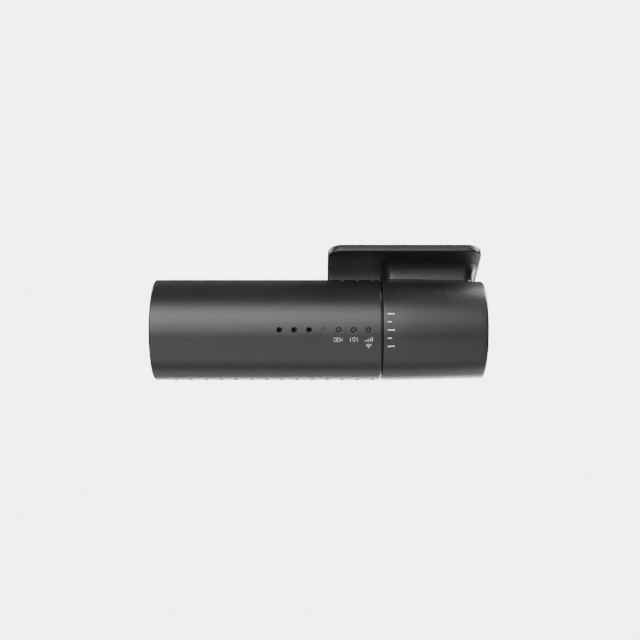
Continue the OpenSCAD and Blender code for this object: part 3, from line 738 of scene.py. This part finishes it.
def groove_shade_window(name, tone, first, pitch):
    """Smoked light windows in a row: a paler middle with a painted shade ring round it, dark where the groove
    round each dome lies in shade, by distance from each one's own centre."""
    m = Nodes(name, IOR=1.42, Coat_Weight=0.1, Coat_Roughness=0.3)
    x = m.node("ShaderNodeSeparateXYZ", {}, {0: m.place}, 0)
    z = m.node("ShaderNodeSeparateXYZ", {}, {0: m.place}, 2) - AXIS.z
    off = (x - (AXIS.x + first * MM)) * (1 / (pitch * MM))
    near = (off - m.node("ShaderNodeMath", {"operation": "ROUND"}, {0: off})) * (pitch * MM)
    far = m.node("ShaderNodeMath", {"operation": "SQRT"}, {0: near * near + z * z})
    # painted shade: a near-black ring where the groove round each dome is in shade
    ring = far.step(0.46 * MM, 0.60 * MM)
    cloud = m.noise(0.3, 3.0)
    middle = m.mix(cloud.step(0.3, 0.7), grey(tone * 0.9), grey(tone * 1.1))
    m.to("Base Color", m.mix(ring, middle, grey(0.004)))
    m.to("Roughness", 0.5 + ring * 0.1 + (cloud - 0.5) * 0.1)
    m.to("Normal", m.bump(cloud, 0.05, 0.01))
    return m.material


def print_ink(name, tone):
    """Screen-printed ink: slightly uneven cover, matt."""
    m = Nodes(name, IOR=1.45)
    cover = m.noise(0.18, 3.0, 0.6)
    m.to("Base Color", m.mix(cover.step(0.25, 0.6), grey(tone * 0.8), grey(tone)))
    m.to("Roughness", 0.55 + (cover - 0.5) * 0.15)
    m.to("Normal", m.bump(cover, 0.1, 0.01))
    return m.material


def gold(name):
    """Plated contact metal with fine turning lines."""
    m = Nodes(name, Metallic=1.0)
    lines = m.noise(0.1, 3.0, 0.5, m.stretch(1.0, 0.1, 0.1))
    m.to("Base Color", m.mix(lines.step(0.3, 0.7), (0.7, 0.52, 0.22, 1), (0.82, 0.64, 0.32, 1)))
    m.to("Roughness", 0.22 + (lines - 0.5) * 0.15)
    m.to("Normal", m.bump(lines, 0.15, 0.01))
    return m.material


# ---------------------------------------------------------------- pieces
skin = satin_plastic("shell_satin", 0.013, 0.36)
button = satin_plastic("button_satin", 0.013, 0.48, 0.25)
cap = satin_plastic("cap_satin", 0.011, 0.5, 0.35, 0.18)
inner = satin_plastic("inner_plastic_look", 0.008, 0.55, 0.5, 0.1)
jack = satin_plastic("jack_plastic_look", 0.006, 0.4, 0.3, 0.1)
white_ink = print_ink("white_ink", 0.86)
grey_ink = print_ink("grey_ink", 0.5)

tube = tube_skin()
tube.data.materials.append(skin)
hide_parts("camera_tube")
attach(tube, "camera")

sleeve = sleeve_skin()
sleeve.data.materials.append(skin)
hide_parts("bracket_shell")
plate = slab("plate_skin", PLATE[0] / 2, PLATE[1] / 2, 5.0, PLATE[2], 0.45, on_plate(PLATE_LOW))
neck = neck_skin()
for piece in (sleeve, plate, neck):
    if piece is not sleeve:
        piece.data.materials.append(skin)
    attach(piece, "bracket")

release = release_skin()
release.data.materials.append(button)
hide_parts("release_button")
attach(release, "release_button")

domes = light_domes()
# the windows' material paints a dark shade ring in the groove round each dome
domes.data.materials.append(groove_shade_window("groove_shade_window", 0.03, ROW[4], 5.1))
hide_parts("light_pipes")
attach(domes, "camera")

dome = rubber_dome()
dome.data.materials.append(speckled("dome_rubber_look", 0.03, 0.6))
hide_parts("button_dome")
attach(dome, "camera")
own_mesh(dome)

ticks = tick_marks()
ticks.data.materials.append(white_ink)
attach(ticks, "bracket")
for piece in symbols():
    piece.data.materials.append(grey_ink)
    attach(piece, "camera")

MATERIALS = {
    "shell": skin,
    "adhesive": foam("adhesive_foam"),
    "inner_plastic": inner,
    "screw_steel": brushed("screw_steel_look", 0.55, 0.3),
    "spring_steel": brushed("spring_steel_look", 0.6, 0.25),
    "button_plastic": button,
    "seal_rubber": speckled("seal_rubber_look", 0.018, 0.7),
    "cap_plastic": cap,
    "dark_screw": brushed("dark_screw_look", 0.08, 0.35),
    "circuit_board": circuit("circuit_board_look"),
    "chip": speckled("chip_look", 0.02, 0.45),
    "thermal_pad": speckled("thermal_pad_look", 0.3, 0.6, (0.25, 0.32, 0.38)),
    "heat_sink": brushed("heat_sink_look", 0.55, 0.4),
    "shield_can": brushed("shield_can_look", 0.55, 0.3),
    "antenna_ceramic": speckled("antenna_ceramic_look", 0.5, 0.6, (0.55, 0.46, 0.34)),
    "capacitor_sleeve": speckled("capacitor_sleeve_look", 0.05, 0.3, (0.03, 0.035, 0.09)),
    "jack_plastic": jack,
    "contact_metal": gold("contact_metal_look"),
    "switch_body": speckled("switch_body_look", 0.2, 0.5),
    "light_window": smoked("light_window_look", 0.115),
    "led": speckled("led_look", 0.7, 0.4, (0.75, 0.7, 0.5)),
    "speaker_cone": speckled("speaker_cone_look", 0.04, 0.5),
    "speaker_cloth": woven("speaker_cloth_look", 0.008),
    "bezel": satin_plastic("bezel_gloss", 0.016, 0.2, 0.4, 0.04),
    "barrel": brushed("barrel_look", 0.03, 0.35, (1.0, 0.1, 1.0)),
    "lens_glass": glass("lens_glass_look", 430.0, 0.55),
    "sensor_glass": glass("sensor_glass_look", 380.0, 0.12),
    "ribbon": speckled("ribbon_look", 0.4, 0.35, (0.5, 0.24, 0.05)),
    "memory_card": speckled("memory_card_look", 0.02, 0.4),
    "sim_card": speckled("sim_card_look", 0.7, 0.4),
}
slot_of = {s["node"]: s["material_slot"] for s in frame["record"]["subparts"]}
for node, obj in frame["nodes"].items():
    obj.data.materials.clear()
    obj.data.materials.append(MATERIALS[slot_of[node]])

# ---------------------------------------------------------------- floor, light, camera
def studio():
    """Floor, wall and ceiling in one, turned about the vertical: radius runs out flat, then up a
    quarter circle, then straight up and in again to a point. Only the camera sees it, so it puts no
    light on the object."""
    n = 96
    a = np.linspace(0, 2 * math.pi, n, endpoint=False)
    profile = [(0.6, 0.0), (1.2, 0.0)]
    profile += [(1.2 + 0.6 * math.sin(q), 0.6 - 0.6 * math.cos(q)) for q in np.linspace(0, math.pi / 2, 16)]
    profile += [(1.8, 2.5), (1.2, 3.1)]
    points = [(0.0, 0.0, -0.5)]
    for r, z in profile:
        points += np.stack([r * np.cos(a), r * np.sin(a), np.full(n, z - 0.5)], 1).tolist()
    faces = [[0, 1 + j, 1 + (j + 1) % n] for j in range(n)]
    for i in range(len(profile) - 1):
        c, d = 1 + i * n, 1 + (i + 1) * n
        faces += [[c + j, d + j, d + (j + 1) % n, c + (j + 1) % n] for j in range(n)]
    points.append((0.0, 0.0, 3.0))
    last = len(points) - 1
    faces += [[d + j, last, d + (j + 1) % n] for j in range(n)]
    mesh = bpy.data.meshes.new("studio")
    mesh.from_pydata(points, [], faces)
    mesh.shade_smooth()
    obj = bpy.data.objects.new("studio", mesh)
    bpy.context.scene.collection.objects.link(obj)
    obj.visible_diffuse = False
    obj.visible_glossy = False
    obj.visible_shadow = False
    m = Nodes("paper", Roughness=0.95, Emission_Strength=5.5)
    tone = m.noise(90.0, 2.0)
    m.to("Base Color", m.mix(tone, grey(0.04), grey(0.05)))
    m.to("Emission Color", m.mix(tone, grey(0.98), grey(1.0)))
    mesh.materials.append(m.material)
    return obj


def panel(name, azimuth, elevation, distance, size, radiance, aim=Vector((0, 0, 0))):
    """A soft light panel seen from the object at that azimuth, 0 towards the camera and 90 to the
    right, and elevation. Its power follows from how bright its face should be."""
    a, e = math.radians(azimuth), math.radians(elevation)
    data = bpy.data.lights.new(name, "AREA")
    data.shape = "RECTANGLE"
    data.size, data.size_y = size
    data.energy = radiance * math.pi * size[0] * size[1]
    obj = bpy.data.objects.new(name, data)
    bpy.context.scene.collection.objects.link(obj)
    way = Vector((math.sin(a) * math.cos(e), -math.cos(a) * math.cos(e), math.sin(e)))
    obj.location = MID + aim + way * distance
    obj.rotation_euler = (-way).to_track_quat("-Z", "Y").to_euler()
    obj.visible_camera = False
    return obj


studio()
MID = Vector((-0.030, AXIS.y, AXIS.z))
panel("key", 0, 31, 1.0, (1.14, 0.5), 3.6, Vector((-0.43, 0, 0)))
panel("key_wide", 0, 25, 1.05, (1.16, 1.4), 3.9, Vector((-0.43, 0, 0)))
panel("low_front", 0, -50, 0.9, (1.3, 1.15), 1.75, Vector((-0.35, 0, 0)))
panel("low_back", 180, -62, 0.9, (1.5, 0.6), 1.25)
panel("back_high", 180, 42, 1.0, (1.5, 0.3), 0.3)
panel("back", 180, 14, 1.2, (1.6, 0.3), 1.0)
panel("back_low", 158, -18, 0.8, (1.1, 0.5), 9.5)
panel("right_high", 112, 52, 0.2, (0.09, 0.14), 32.0, Vector((0.06, 0, 0)))
panel("right_low", 120, -48, 0.2, (0.12, 0.14), 4.0, Vector((0.06, 0, 0)))
panel("left", -125, 35, 0.5, (0.3, 0.3), 8.0, Vector((-0.05, 0, 0)))

world = bpy.data.worlds.new("studio")
bpy.context.scene.world = world
world.use_nodes = True
world.node_tree.nodes["Background"].inputs["Color"].default_value = (1, 1, 1, 1)
world.node_tree.nodes["Background"].inputs["Strength"].default_value = 0.012

camera_data = bpy.data.cameras.new("view")
camera = bpy.data.objects.new("view", camera_data)
bpy.context.scene.collection.objects.link(camera)
camera_data.lens = 58.75
camera_data.sensor_width = 36
camera_data.shift_x = -0.0023
camera_data.shift_y = 0.0156
camera_data.clip_start = 0.01
camera_data.clip_end = 20
camera.location = AXIS + Vector((CAMERA_ALONG, -CAMERA_BACK, 0)) * MM
camera.rotation_euler = (math.radians(90), 0, 0)
bpy.context.scene.camera = camera
